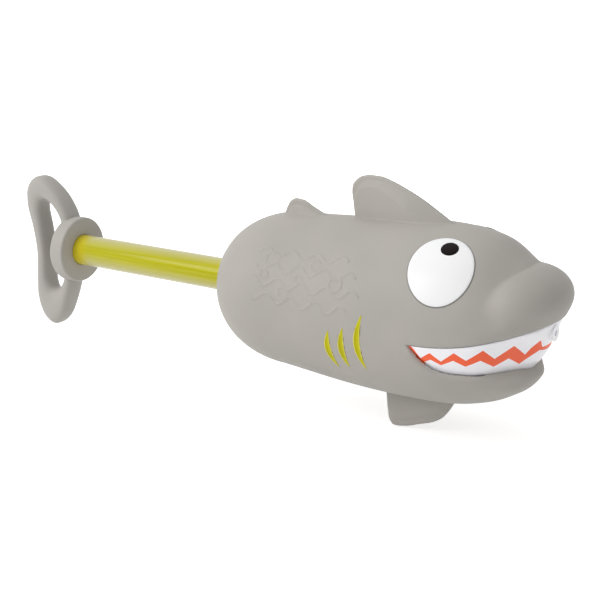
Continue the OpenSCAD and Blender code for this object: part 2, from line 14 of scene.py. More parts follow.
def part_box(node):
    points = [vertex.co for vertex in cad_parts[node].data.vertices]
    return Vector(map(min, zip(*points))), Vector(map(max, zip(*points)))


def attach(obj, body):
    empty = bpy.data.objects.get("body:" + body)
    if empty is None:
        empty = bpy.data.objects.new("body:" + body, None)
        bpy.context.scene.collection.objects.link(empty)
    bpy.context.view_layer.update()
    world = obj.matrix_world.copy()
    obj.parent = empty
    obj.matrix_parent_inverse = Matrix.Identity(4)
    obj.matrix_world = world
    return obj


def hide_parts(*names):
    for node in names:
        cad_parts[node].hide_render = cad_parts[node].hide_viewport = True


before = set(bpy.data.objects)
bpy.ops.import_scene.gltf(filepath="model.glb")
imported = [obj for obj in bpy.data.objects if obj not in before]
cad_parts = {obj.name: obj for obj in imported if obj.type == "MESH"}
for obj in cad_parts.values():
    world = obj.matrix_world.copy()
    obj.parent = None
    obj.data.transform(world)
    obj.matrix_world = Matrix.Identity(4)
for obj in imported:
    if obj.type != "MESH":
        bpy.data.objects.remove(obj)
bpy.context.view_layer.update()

MM = 0.001


def low(node):
    return np.array(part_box(node)[0]) / MM


def high(node):
    return np.array(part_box(node)[1]) / MM


# Places that come from the CAD pieces. The plain nose ends a little behind the front of the skin.
NOSE_BEHIND = 6.0
REAR_X = low("rear_cap")[0]
CAP_R = high("rear_cap")[2]
BARREL_REAR = low("barrel")[0]
BODY_W = 2 * high("body_skin")[1]
NOSE_X = high("body_skin")[0] - NOSE_BEHIND
TUBE_R = high("plunger_tube")[2]
TUBE_REAR, TUBE_FRONT = low("plunger_tube")[0], high("plunger_tube")[0]
COLLAR_FRONT = high("tail_handle")[0]
TAIL_REACH = COLLAR_FRONT - low("tail_handle")[0]
TAIL_UP, TAIL_DOWN = high("tail_handle")[2], -low("tail_handle")[2]
FLOOR_Z = low("body_skin")[2]

# Trunk of the shark. Each outline point is a share of the trunk's length behind the nozzle outlet and a
# share of half the height or width, both in percent.
BODY_H = 102.0
DOME_LEN = 52.0
DOME_POWER = 0.85
DOME_TIP = 0.02
REAR_RIM = 1.6
NOSE_START = 18.0
NOSE_BLEND = 30.0
NOSE_BEND = 2.4
NOSE_UP = 0.2
NOSE_Z = NOSE_UP * BODY_H / 2
TOP_LINE = [
    (-6, 24.2), (0, 36.2), (4, 50.3), (8, 66.3), (12, 75.4), (16, 84.5), (20, 92), (25, 97), (32, 100.5),
    (44, 102), (56, 100), (75, 95), (93, 91), (100, 90),
]
BELLY_LINE = [
    (-6, 42.4), (-2.5, 46.4), (0, 52.4), (1, 58.4), (4, 62.9), (6.5, 65.4), (10, 70.5), (15.5, 80.5),
    (22.5, 89), (31, 95), (44, 98), (56, 98.5), (75, 96.5), (93, 92), (100, 90),
]
SIDE_LINE = [
    (-6, 63.5), (0, 66.5), (5, 64.7), (9, 69.4), (15.5, 78.3), (22.5, 88.5), (31, 96), (44, 100),
    (56, 100), (75, 97), (93, 93), (100, 92),
]
TAIL_R = min(TOP_LINE[-1][1] * BODY_H, SIDE_LINE[-1][1] * BODY_W) / 200
REAR_ANGLE = math.asin(((CAP_R + REAR_RIM) / TAIL_R) ** (1 / DOME_POWER))
DOME_POLE = -REAR_X + DOME_LEN * (1 - math.cos(REAR_ANGLE))
DOME_START = DOME_POLE - DOME_LEN

# Wall of the skin, grid step of its mesh, step of slopes and a distance that counts as far
SKIN_WALL = 3.0
MESH_STEP = 1.1
SLOPE_STEP = 0.25
FAR_OFF = 9.0


def curve(points, u, even=False):
    """Smooth curve through a list of points: without overshoot, or with an even bend."""
    p = np.array(points, float)
    gap = np.diff(p[:, 0])
    rise = np.diff(p[:, 1]) / gap
    slope = np.append(rise, rise[-1])
    if even:
        terms = np.eye(len(p))
        for i in range(1, len(p) - 1):
            terms[i, i - 1:i + 2] = gap[i], 2 * (gap[i - 1] + gap[i]), gap[i - 1]
            slope[i] = 3 * (gap[i] * rise[i - 1] + gap[i - 1] * rise[i])
        slope = np.linalg.solve(terms, slope)
    else:
        mixed = (gap[:-1] * rise[1:] + gap[1:] * rise[:-1]) / (gap[:-1] + gap[1:])
        slope[1:-1] = np.where(rise[:-1] * rise[1:] <= 0, 0, mixed)
    u = np.clip(u, p[0, 0], p[-1, 0])
    k = np.clip(np.searchsorted(p[:, 0], u, side="right") - 1, 0, len(p) - 2)
    t = (u - p[k, 0]) / gap[k]
    return (
        (2 * t**3 - 3 * t**2 + 1) * p[k, 1]
        + (t**3 - 2 * t**2 + t) * gap[k] * slope[k]
        + (3 * t**2 - 2 * t**3) * p[k + 1, 1]
        + (t**3 - t**2) * gap[k] * slope[k + 1]
    )


def smooth_max(a, b, k):
    """The greater of two values, rounded over a stretch of k."""
    h = np.maximum(k - np.abs(a - b), 0) / k
    return np.maximum(a, b) + h * h * k / 4


def smooth_min(a, b, k):
    return -smooth_max(-a, -b, k)


def soft_step(a, b, u):
    """Goes from 0 at a to 1 at b with soft ends."""
    t = np.clip((u - a) / (b - a), 0, 1)
    return t * t * (3 - 2 * t)


def slope_of(function, u):
    """Slope of a function of u, or of each of its results."""
    ahead, behind = np.array(function(u + SLOPE_STEP)), np.array(function(u - SLOPE_STEP))
    return (ahead - behind) / (2 * SLOPE_STEP)


def outlines(x):
    """Base height, middle over it, half height and half width of the trunk's section at x. The base is where
    the nose closes to, and the section's middle further back."""
    d = np.clip(-x, -NOSE_X, DOME_POLE - DOME_TIP)
    dome = np.sin(np.arccos(np.clip(1 - (DOME_POLE - d) / DOME_LEN, 0, 1))) ** DOME_POWER
    dome = np.where(d > DOME_START, dome, 1.0)
    share = 100 * np.minimum(1, d / DOME_START)
    top = curve(TOP_LINE, share, even=True) * BODY_H / 200 * dome
    belly = -curve(BELLY_LINE, share, even=True) * BODY_H / 200 * dome
    middle = (top + belly) / 2
    base = middle + (NOSE_Z - middle) * soft_step(-NOSE_START - NOSE_BLEND, -NOSE_START, x)
    return base, middle - base, (top - belly) / 2, curve(SIDE_LINE, share, even=True) * BODY_W / 200 * dome


# The mouth is narrower than the snout over it: share taken off the width by the distance behind the outlet,
# and the heights between which that comes in at the top and goes out at the bottom
MOUTH_TAPER = [(-6, 0.48), (7, 0.46), (11, 0.38), (17, 0.20), (24, 0.05), (34, 0), (44, 0)]
TAPER_TOP, TAPER_LOW = (11, -8), (-34, -22)


def face_width(x, z):
    """Share of the trunk's width that is left at x and z."""
    return 1 - curve(MOUTH_TAPER, -x) * soft_step(*TAPER_TOP, z) * soft_step(*TAPER_LOW, z)


def loft(x, y, z):
    """Distance to the plain trunk, negative inside, and the angle on its section over the horizontal."""
    base, mid, half, side = outlines(x)
    d_base, d_mid, d_half, d_side = slope_of(outlines, x)
    width = face_width(x, z)
    width_x = slope_of(lambda u: face_width(u, z), x) / width
    width_z = slope_of(lambda u: face_width(x, u), z) / width
    up = z - base
    spread = (y / (side * width)) ** 2
    flat, lean = 1 - (mid / half) ** 2, mid * up / half**2
    size = (np.sqrt(lean**2 + flat * ((up / half) ** 2 + spread)) - lean) / flat
    rise = (up - mid * size) / half
    grow = np.maximum(mid / half * rise + size, 1e-6)
    nose = np.maximum((x + NOSE_START) / (NOSE_START + NOSE_X), 0)
    upright = rise / half * (d_base + d_mid * size + rise * d_half)
    gx = -2 * size / grow * (upright + spread * (d_side / side + width_x))
    gx = gx + NOSE_BEND * nose ** (NOSE_BEND - 1) / (NOSE_START + NOSE_X)
    gy = 2 * size / grow * spread / np.where(y == 0, 1, y)
    gz = 2 * size / grow * (rise / half - spread * width_z)
    slope = np.maximum(np.sqrt(gx * gx + gy * gy + gz * gz), 1e-4)
    distance = (size * size - 1 + nose**NOSE_BEND) / slope
    return distance, np.degrees(np.arctan2(rise, np.sqrt(spread)))


def trunk_distance(x, y, z):
    return loft(x, y, z)[0]


def trunk_point(d, angle):
    """Point on the right side of the plain trunk, d behind the outlet and at an angle on the section."""
    base, mid, half, side = outlines(-np.asarray(d, float))
    a = np.radians(angle)
    return np.stack(np.broadcast_arrays(-d, -side * np.cos(a), base + mid + half * np.sin(a)), -1)


# Snout: an oval bulb in front of the forehead. Width of the fold between them, by height
SNOUT_AT = (-18.2, 0.0, 18.0)
SNOUT_HALF = (24.0, 34.2, 17.5)
FOLD_ROUND = [(-30, 4), (0, 5), (16, 5), (24, 2.6), (31, 0.9), (38, 0.5)]


def snout(x, y, z):
    """Distance to the bulb."""
    q = [(v - c) / h for v, c, h in zip((x, y, z), SNOUT_AT, SNOUT_HALF)]
    slope = 2 * np.sqrt(sum((v / h) ** 2 for v, h in zip(q, SNOUT_HALF)))
    return (sum(v * v for v in q) - 1) / np.maximum(slope, 0.02)


# Moulded waves and bubbles on the flanks: angle and start of each row of waves, then place behind the outlet,
# angle and radius of each bubble. The raised line has a top and a foot, as distances from its middle.
WAVE_ROWS = [(8, 102), (19, 96), (30, 100), (41, 108)]
WAVE_END = 168
WAVE_LEN = 17.0
WAVE_HEIGHT = 2.6
BUBBLES = [
    (112, 24.5, 4.2), (128, 35.5, 3.0), (146, 13.5, 3.4), (158, 36, 4.4), (137, 25, 2.2), (161, 24, 2.6),
]
MOULD_HEIGHT = 0.4
MOULD_TOP, MOULD_FOOT = 0.2, 1.1
ARC_MM = BODY_W / 2 * math.pi / 180


def flank_moulding(x, angle):
    """Height of the raised lines on the flanks."""
    d = -x
    nearest = np.full(np.broadcast(x, angle).shape, FAR_OFF)
    for row, start in WAVE_ROWS:
        phase = 2 * np.pi * (d - start) / WAVE_LEN
        crest = row * ARC_MM + WAVE_HEIGHT * np.sin(phase)
        slope = WAVE_HEIGHT * 2 * np.pi / WAVE_LEN * np.cos(phase)
        off = np.abs(angle * ARC_MM - crest) / np.sqrt(1 + slope**2)
        ends = np.maximum(start - d, d - WAVE_END)
        nearest = np.minimum(nearest, np.where(ends > 0, np.hypot(off, ends), off))
    for back, up, r in BUBBLES:
        nearest = np.minimum(nearest, np.abs(np.hypot(d - back, (angle - up) * ARC_MM) - r))
    return MOULD_HEIGHT * (1 - soft_step(MOULD_TOP, MOULD_FOOT, nearest))


# Mouth: lips seen from the side, as heights at a distance behind the outlet, and the round of their edges.
# The jaw dips over a stretch of x and gets rounder over one of z.
MOUTH_LEN = 64.0
MOUTH_CORNER_Z = -5.0
LIP_RISE, LIP_POWER = 12.0, 2.1
JAW_DROP, JAW_RUN, JAW_POWER = 15.0, 0.42, 3.0
JAW_DIP, JAW_DIP_RUN = 2.5, (-16, -7)
LIP_ROUND, JAW_ROUND, JAW_ROUND_RUN = 1.4, 4.6, (-7, -13)


def lips(x):
    """Heights of the lower and the upper lip at x."""
    t = np.clip(1 + x / MOUTH_LEN, 0, 1)
    upper = MOUTH_CORNER_Z + LIP_RISE * t**LIP_POWER
    lower = MOUTH_CORNER_Z - JAW_DROP * (1 - np.maximum(0, 1 - t / JAW_RUN) ** JAW_POWER)
    lower = lower - JAW_DIP * soft_step(*JAW_DIP_RUN, x)
    return lower, upper


def mouth_gap(x, z):
    """Distance to the gap between the lips, seen from the side."""
    lower, upper = lips(x)
    lean_low, lean_up = np.sqrt(1 + slope_of(lips, x) ** 2)
    gap = np.maximum((z - upper) / lean_up, (lower - z) / lean_low)
    return np.maximum(gap, -MOUTH_LEN - x)


# Fins: outline points of the edge (x, height), trailing edge (x and height at the root, lean), where the
# fin stops inside the trunk, half thickness ahead and at the trailing edge, width of the bevelled front at
# the root and at the top, share of the thickness lost at the top and its height
FINS = {
    "dorsal": dict(
        edge=[(-130, 62), (-128, 66.4), (-124.5, 70.6), (-118, 73.5), (-110, 73.7), (-102.7, 72.1),
              (-93, 68.5), (-83, 64), (-74, 59), (-65.4, 53.9), (-57, 48.4), (-48, 41), (-42, 30)],
        back=(-125.3, 49.0, -0.18), foot=36.0, half=(7.8, 2.0), bevel=(14.0, 5.0), taper=0.4, top=73.7),
    "second": dict(
        edge=[(-178, 37), (-174.9, 44.1), (-171.3, 51), (-167.3, 54.3), (-162.1, 54.4), (-153.8, 50.9),
              (-145.5, 47.2), (-136, 42.5), (-128, 26)],
        back=(-176, 40.0, 0.3), foot=39.0, half=(8.6, 3.0), bevel=(6.0, 4.0), taper=0.8, top=54.4),
    "keel": dict(
        edge=[(-104, 69), (-101.2, 70.8), (-97, 73.5), (-90, 72.7), (-80.3, 69.5), (-70, 65.5), (-65.5, 62.2),
              (-61.9, 57.7), (-58.3, 51.8), (-54, 45), (-50, 30)],
        back=(-102.4, 54.0, 0.08), foot=36.0, half=(4.6, 2.4), bevel=(8.0, 6.0), taper=0.4, top=73.5),
}
FIN_ROUND = 1.3
FIN_FILLET = 0.7
FIN_CORNER = 3.0
FIN_CHORD = 36.0
FIN_BEVEL_POWER = 1.08
FIN_CORE_MIN = 0.05


def fin(shape, x, y, z):
    """Distance to a fin that stands up along +z."""
    edge = curve(shape["edge"], x)
    lean = slope_of(lambda u: curve(shape["edge"], u), x)
    under = (z - edge) / np.sqrt(1 + lean**2)
    back_x, back_z, back_lean = shape["back"]
    behind = (back_x + back_lean * (z - back_z) - x) / math.sqrt(1 + back_lean**2)
    flat = smooth_max(under, behind, FIN_CORNER)
    flat = np.maximum(flat, shape["foot"] - z)
    share = np.clip((z - shape["foot"]) / (shape["top"] - shape["foot"]), 0, 1)
    bevel = shape["bevel"][0] + (shape["bevel"][1] - shape["bevel"][0]) * share
    front = 1 - (1 - np.clip(-under / bevel, 0, 1)) ** FIN_BEVEL_POWER
    chord = np.clip(-behind / FIN_CHORD, 0, 1)
    half = shape["half"][1] + (shape["half"][0] - shape["half"][1]) * chord
    core = np.maximum(half * (1 - shape["taper"] * share) * front - FIN_ROUND, FIN_CORE_MIN)
    a, b = np.abs(y) - core, flat + FIN_ROUND
    return np.hypot(np.maximum(a, 0), np.maximum(b, 0)) + np.minimum(np.maximum(a, b), 0) - FIN_ROUND


# Eyes: centre and direction, half size and shift of the oval, its seat (depth, how far it is drawn in and how
# far it reaches), half size and shift of the pupil
EYE_BACK, EYE_ANGLE, EYE_TURN = 52.0, 42.0, 12.0
EYE_HALF = (18.3, 21.3)
EYE_SHIFT = (-0.4, 1.6)
EYE_SEAT, EYE_TUCK, EYE_REACH = 1.3, 1.2, 15
PUPIL_HALF = (4.8, 4.6)
PUPIL_SHIFT = (2.1, 13.8)


def eye_frame():
    """Centre of the right eye and its sideways, upward and outward directions."""
    turn, lift = math.radians(EYE_TURN), math.radians(EYE_ANGLE)
    side = np.array([math.cos(turn), math.sin(turn), 0])
    out = np.array([math.sin(turn) * math.cos(lift), -math.cos(turn) * math.cos(lift), math.sin(lift)])
    return trunk_point(EYE_BACK, EYE_ANGLE), side, np.cross(out, side), out


def eye_seat(x, y, z):
    """Distance to the oval of the eye, seen along its axis and drawn in under the eye's rim."""
    centre, side, up, out = eye_frame()
    p = [x - centre[0], -np.abs(y) - centre[1], z - centre[2]]
    u, v, w = [sum(c * q for c, q in zip(axis, p)) for axis in (side, up, out)]
    a, b = EYE_HALF[0] - EYE_TUCK, EYE_HALF[1] - EYE_TUCK
    oval = np.hypot((u - EYE_SHIFT[0]) / a, (v - EYE_SHIFT[1]) / b)
    return np.maximum((oval - 1) * min(a, b), -w - EYE_REACH)


# Gills: distance behind the outlet and angle of the upper and of the lower tip, and bow of each
GILLS = [(92.0, 7.8, 91.8, -30.6, 3.2), (103.9, -2.4, 103.2, -32.0, 2.3), (113.6, -6.0, 111.0, -34.6, 2.7)]
GILL_W, GILL_TIP = 3.6, 0.3
GILL_LIFT = 0.14

# Seats of the gills in the skin: depth, how far they are drawn in and the half width that they start at. The
# face of a gill goes from level to its full dip between two half widths.
GILL_SEAT, GILL_INSET, GILL_SEAT_MIN = 1.5, 0.5, 1.1
GILL_NARROW = (1.0, 1.8)


def gill_line(i, t):
    """Middle distance and half width of gill i at share t of its length."""
    first, _, last, _, bow = GILLS[i]
    bulge = np.sin(np.pi * np.clip(t, 0, 1))
    return first + (last - first) * t + bow * bulge, GILL_W / 2 * bulge + GILL_TIP


def gill_seats(x, angle):
    """Distance to the outlines of the seats on the trunk."""
    best = np.full(np.broadcast(x, angle).shape, FAR_OFF)
    for i, (_, first, _, last, _) in enumerate(GILLS):
        t = (angle - first) / (last - first)
        middle, half = gill_line(i, t)
        seat = np.where(half > GILL_SEAT_MIN, half - GILL_INSET, -GILL_W)
        across = np.abs(-x - middle) - seat
        along = (np.abs(t - 0.5) - 0.5) * abs(last - first) * ARC_MM
        best = np.minimum(best, np.maximum(across, along))
    return best


# Rear end of the skin: round of its edge, recess of the cap with its gap and round, wall behind the hollow
# and hole of the barrel. The hollow ends behind the mouth.
REAR_ROUND = 1.2
CAP_GAP, RECESS_ROUND = 0.3, 0.8
REAR_WALL = 2.5
BARREL_HOLE_R, HOLE_OVER = 16.5, 2
HOLLOW_FRONT, HOLLOW_ROUND = 26.0, 3.0


def body_skin_field(x, y, z):
    """Distance to the moulded skin, negative inside its wall."""
    trunk, angle = loft(x, y, z)
    outside = smooth_min(trunk, snout(x, y, z), curve(FOLD_ROUND, z)) - flank_moulding(x, angle)
    for name, up in (("dorsal", z), ("second", z), ("keel", -z)):
        outside = smooth_min(outside, fin(FINS[name], x, y, up), FIN_FILLET)
    outside = smooth_max(outside, REAR_X - x, REAR_ROUND)
    lip_round = LIP_ROUND + (JAW_ROUND - LIP_ROUND) * soft_step(*JAW_ROUND_RUN, z)
    skin = smooth_max(outside, -mouth_gap(x, z), lip_round)
    skin = np.maximum(skin, -np.maximum(eye_seat(x, y, z), -(trunk + EYE_SEAT)))
    skin = np.maximum(skin, -np.maximum(gill_seats(x, angle), -(trunk + GILL_SEAT)))
    from_axis = np.hypot(y, z)
    recess = np.maximum(from_axis - CAP_R - CAP_GAP, x - (BARREL_REAR - REAR_WALL))
    skin = smooth_max(skin, -recess, RECESS_ROUND)
    hollow = smooth_max(trunk + SKIN_WALL, x + HOLLOW_FRONT, HOLLOW_ROUND)
    hollow = np.maximum(hollow, BARREL_REAR - x)
    hole = np.maximum(from_axis - BARREL_HOLE_R, x - BARREL_REAR - HOLE_OVER)
    return np.maximum(np.maximum(skin, -hollow), -hole)


def surface_net(field, lowest, highest, step):
    """Quads of the zero surface of a field on a regular grid."""
    axes = [np.arange(a, b + step, step) for a, b in zip(lowest, highest)]
    x, y, z = np.meshgrid(*axes, indexing="ij", sparse=True)
    value = field(x, y, z)
    inside = value < 0
    cell_shape = np.array(inside.shape) - 1
    count = np.zeros(cell_shape, int)
    for corner in itertools.product((0, 1), repeat=3):
        count += inside[tuple(slice(c, n + c) for c, n in zip(corner, cell_shape))]
    active = (count > 0) & (count < 8)
    cells = np.argwhere(active)
    index = np.full(cell_shape, -1)
    index[active] = np.arange(len(cells))
    total, hits = np.zeros((len(cells), 3)), np.zeros(len(cells))
    quads = []
    unit = np.eye(3, dtype=int)
    for axis in range(3):
        u, v = (axis + 1) % 3, (axis + 2) % 3
        for i, j in itertools.product((0, 1), repeat=2):
            start = i * unit[u] + j * unit[v]
            f0 = value[tuple((cells + start).T)]
            f1 = value[tuple((cells + start + unit[axis]).T)]
            cross = (f0 < 0) != (f1 < 0)
            t = f0[cross] / (f0[cross] - f1[cross])
            total[cross] += start + t[:, None] * unit[axis]
            hits[cross] += 1
        first = np.take(inside, range(inside.shape[axis] - 1), axis)
        second = np.take(inside, range(1, inside.shape[axis]), axis)
        edges = np.argwhere(first != second)
        pair = edges[:, [u, v]]
        edges = edges[((pair > 0) & (pair < cell_shape[[u, v]])).all(1)]
        ring = [edges, edges - unit[u], edges - unit[u] - unit[v], edges - unit[v]]
        quad = np.stack([index[tuple(r.T)] for r in ring], 1)
        flip = ~first[tuple(edges.T)]
        quad[flip] = quad[flip][:, ::-1]
        quads.append(quad)
    points = np.array(lowest) + step * (cells + total / hits[:, None])
    return points, np.concatenate(quads)


def gradient(field, p, step=0.2):
    """Slope of a field at points."""
    g = np.empty_like(p)
    for k in range(3):
        off = np.zeros(3)
        off[k] = step
        g[:, k] = (field(*(p + off).T) - field(*(p - off).T)) / (2 * step)
    return g


def outward(field, p):
    """Unit normals of a field at points."""
    g = gradient(field, p)
    return g / np.maximum(np.linalg.norm(g, axis=1, keepdims=True), 1e-6)


# Settling and sliding of points: least squared slope that counts, longest move in a round and share of the
# way to the middle of the neighbours
SLOPE_MIN = 0.05
MOVE_MAX = 0.5
SLIDE_SHARE = 0.5


def settle(field, p, rounds):
    """Moves points onto the zero surface of a field."""
    for _ in range(rounds):
        g = gradient(field, p)
        move = -(field(*p.T) / np.maximum((g * g).sum(1), SLOPE_MIN))[:, None] * g
        size = np.linalg.norm(move, axis=1, keepdims=True)
        p = p + move * np.minimum(1, MOVE_MAX / np.maximum(size, 1e-9))
    return p


def even_out(field, p, quads, rounds):
    """Slides points along the surface so that the quads get alike."""
    ends = np.concatenate([quads[:, [k, (k + 1) % 4]] for k in range(4)])
    ends = np.concatenate([ends, ends[:, ::-1]])
    near = np.bincount(ends[:, 0], minlength=len(p))
    for _ in range(rounds):
        total = [np.bincount(ends[:, 0], p[ends[:, 1], k], len(p)) for k in range(3)]
        mean = np.stack(total, 1) / near[:, None]
        n = outward(field, p)
        move = mean - p
        move -= (move * n).sum(1, keepdims=True) * n
        p = settle(field, p + SLIDE_SHARE * move, 1)
    return p


def mesh_of(name, points, faces):
    """Mesh from points in millimetres."""
    mesh = bpy.data.meshes.new(name)
    mesh.from_pydata((np.asarray(points) * MM).tolist(), [], [list(map(int, f)) for f in faces])
    return mesh


def added(name, data):
    obj = bpy.data.objects.new(name, data)
    bpy.context.scene.collection.objects.link(obj)
    return obj


def piece(name, points, faces, body, slot, materials, stands_for=(), face_material=None, normals=None):
    """Makes a piece from points in millimetres and lets it ride on a body."""
    mesh = mesh_of(name, points, faces)
    mesh.shade_smooth()
    for m in materials:
        mesh.materials.append(m)
    if face_material is not None:
        mesh.polygons.foreach_set("material_index", np.asarray(face_material, np.int32))
    if normals is not None:
        mesh.normals_split_custom_set_from_vertices(normals.tolist())
    obj = added(name, mesh)
    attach(obj, body)
    if stands_for:
        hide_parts(*stands_for)
    return obj


def grid_faces(rows, cols, wrap=False, flip=False):
    """Quads over a grid of points, row by row."""
    faces = []
    for r in range(rows - 1):
        for c in range(cols if wrap else cols - 1):
            a, b = r * cols + c, r * cols + (c + 1) % cols
            quad = (a, b, b + cols, a + cols)
            faces.append(quad[::-1] if flip else quad)
    return faces


def lathe(profile, segments):
    """Points and quads of a profile (x, r), with the solid on its left, turned about the pump axis."""
    turn = np.linspace(0, 2 * np.pi, segments, endpoint=False)
    rows = [np.stack([np.full(segments, x), r * np.cos(turn), r * np.sin(turn)], 1) for x, r in profile]
    return np.concatenate(rows), grid_faces(len(profile), segments, wrap=True)


def closed(points, faces, segments):
    """A turned mesh with both of its ends closed."""
    last = len(points) - segments
    return points, faces + [tuple(reversed(range(segments))), tuple(range(last, len(points)))]


def as_is(points, faces):
    return points, faces


def mirrored(points, faces):
    """The same mesh on the left side of the shark."""
    return points * (1, -1, 1), [f[::-1] for f in faces]


SIDES = (("right", as_is), ("left", mirrored))


# Materials: ends of the ramps, depth of bumps in metres, and how much finer the patches of roughness are
RAMP_ENDS = (0.3, 0.7)
BUMP_DEPTH = 0.0002
ROUGH_FINER = 4


def rgb(r, g, b):
    """Linear colour of an 8-bit screen colour."""
    parts = [c / 255 for c in (r, g, b)]
    return tuple(c / 12.92 if c <= 0.04045 else ((c + 0.055) / 1.055) ** 2.4 for c in parts) + (1.0,)


def set_range(node, source, target):
    """Sets both ranges of a Map Range node."""
    for kind, ends in (("From", source), ("To", target)):
        for end, value in zip(("Min", "Max"), ends):
            node.inputs[f"{kind} {end}"].default_value = value


class Finish:
    """A principled material with helpers for its noise, colour and bump nodes."""

    def __init__(self, name, **sockets):
        self.material = bpy.data.materials.new(name)
        self.material.use_nodes = True
        self.tree = self.material.node_tree
        self.shader = self.tree.nodes["Principled BSDF"]
        self.place = self.tree.nodes.new("ShaderNodeTexCoord").outputs["Object"]
        for socket, value in sockets.items():
            self.shader.inputs[socket.replace("_", " ")].default_value = value

    def node(self, kind, **settings):
        made = self.tree.nodes.new("ShaderNode" + kind)
        for key, value in settings.items():
            setattr(made, key, value)
        return made

    def link(self, a, b):
        self.tree.links.new(a, b)

    def noise(self, scale, detail=2.0, place=None):
        made = self.node("TexNoise")
        made.inputs["Scale"].default_value = scale
        made.inputs["Detail"].default_value = detail
        self.link(place or self.place, made.inputs["Vector"])
        return made.outputs["Fac"]

    def ramp(self, factor, stops):
        """Runs a factor through stops, each a place and a colour or a grey value."""
        made = self.node("ValToRGB")
        elements = made.color_ramp.elements
        for place, _ in stops[1:-1]:
            elements.new(place)
        for element, (place, value) in zip(elements, stops):
            element.position = place
            element.color = (value, value, value, 1) if isinstance(value, float) else value
        self.link(factor, made.inputs["Fac"])
        return made.outputs["Color"]

    def spread(self, factor, first, second, socket):
        """Runs a factor from one value to another into a socket."""
        self.link(self.ramp(factor, list(zip(RAMP_ENDS, (first, second)))), self.shader.inputs[socket])

    def level(self, value, source, target):
        """Maps a value softly from one range onto another."""
        made = self.node("MapRange", interpolation_type="SMOOTHSTEP")
        set_range(made, source, target)
        self.link(value, made.inputs["Value"])
        return made.outputs["Result"]

    def mix(self, factor, first, second):
        """A colour that goes to the second, a plain one, as the factor rises."""
        made = self.node("MixRGB")
        made.inputs["Color2"].default_value = second
        self.link(factor, made.inputs["Fac"])
        self.link(first, made.inputs["Color1"])
        return made.outputs["Color"]

    def bump(self, factor, strength):
        made = self.node("Bump")
        made.inputs["Strength"].default_value = strength
        made.inputs["Distance"].default_value = BUMP_DEPTH
        self.link(factor, made.inputs["Height"])
        self.link(made.outputs["Normal"], self.shader.inputs["Normal"])


def plastic(name, light, dark, rough, patch=35.0, grain=900.0, bump=0.12, **sockets):
    """Moulded plastic: faint colour patches, a fine grain and a roughness that varies a little."""
    finish = Finish(name, **sockets)
    finish.spread(finish.noise(patch, detail=3.0), dark, light, "Base Color")
    finish.spread(finish.noise(patch * ROUGH_FINER), *rough, "Roughness")
    finish.bump(finish.noise(grain), bump)
    return finish.material


GREY_VINYL = plastic("grey_vinyl", rgb(182, 178, 171), rgb(176, 172, 166), (0.5, 0.6),
                     Specular_IOR_Level=0.22)
GREY_PLASTIC = plastic("grey_plastic", rgb(182, 178, 172), rgb(177, 173, 168), (0.44, 0.54),
                       Specular_IOR_Level=0.3)
WHITE_PLASTIC = plastic("white_plastic", rgb(253, 252, 255), rgb(250, 249, 255), (0.3, 0.4), bump=0.03,
                        Specular_IOR_Level=1.0, Coat_Weight=0.6, Coat_Roughness=0.3)
EYE_WHITE = plastic("eye_white", rgb(252, 252, 252), rgb(250, 250, 251), (0.34, 0.37), bump=0.02,
                    Specular_IOR_Level=0.35)
# Painted shade: a grey band round each eye's edge that stands for its shadow line
EYE_RIM_SHADE = plastic("eye_rim", rgb(128, 126, 122), rgb(118, 116, 113), (0.4, 0.5))
PUPIL_BLACK = plastic("pupil_black", rgb(26, 18, 16), rgb(20, 13, 12), (0.3, 0.36), bump=0.02,
                      Specular_IOR_Level=0.06)
TOOTH_PRINT = plastic("tooth_print", rgb(255, 102, 54), rgb(255, 97, 48), (0.32, 0.42), bump=0.03)
GILL_LIME = plastic("gill_lime", rgb(202, 195, 2), rgb(188, 183, 0), (0.3, 0.4), patch=60.0, bump=0.06,
                    Specular_IOR_Level=0.2)
# Painted highlight: a brighter yellow on the gills' raised edges
GILL_EDGE_HIGHLIGHT = plastic("gill_edge_highlight", rgb(246, 236, 112), rgb(240, 228, 92), (0.22, 0.32), patch=160.0, bump=0.04)
LIME_PLUG = plastic("lime_plug", rgb(226, 210, 30), rgb(216, 198, 20), (0.25, 0.35), bump=0.04)
NATURAL_PLASTIC = plastic("natural_plastic", rgb(226, 227, 222), rgb(218, 219, 214), (0.35, 0.45))
SEAL_RUBBER = plastic("seal_rubber", rgb(42, 40, 40), rgb(34, 33, 33), (0.6, 0.7))
SCREW_STEEL = plastic("screw_steel", rgb(196, 197, 200), rgb(182, 183, 187), (0.25, 0.38), Metallic=1.0)


# Lime tube: its streaks and their tints, a painted sheen that pales the colour towards the edges of its
# outline, and the yellow end that fades over a stretch from the collar
STREAK_SCALE, STREAK_STRETCH, STREAK_BUMP = 650.0, 0.02, 0.1
STREAK_TINTS = (rgb(184, 180, 0), rgb(197, 192, 32))
EDGE_SHEEN_COLOUR = rgb(206, 200, 140)
EDGE_SHEEN_STOPS = [(0.25, 0.0), (0.33, 0.3), (0.62, 1.0)]
END_COLOUR = rgb(214, 198, 40)
END_FADE = (4, 13)
TUBE_ROUGH, TUBE_ROUGH_SCALE = (0.07, 0.12), 140.0


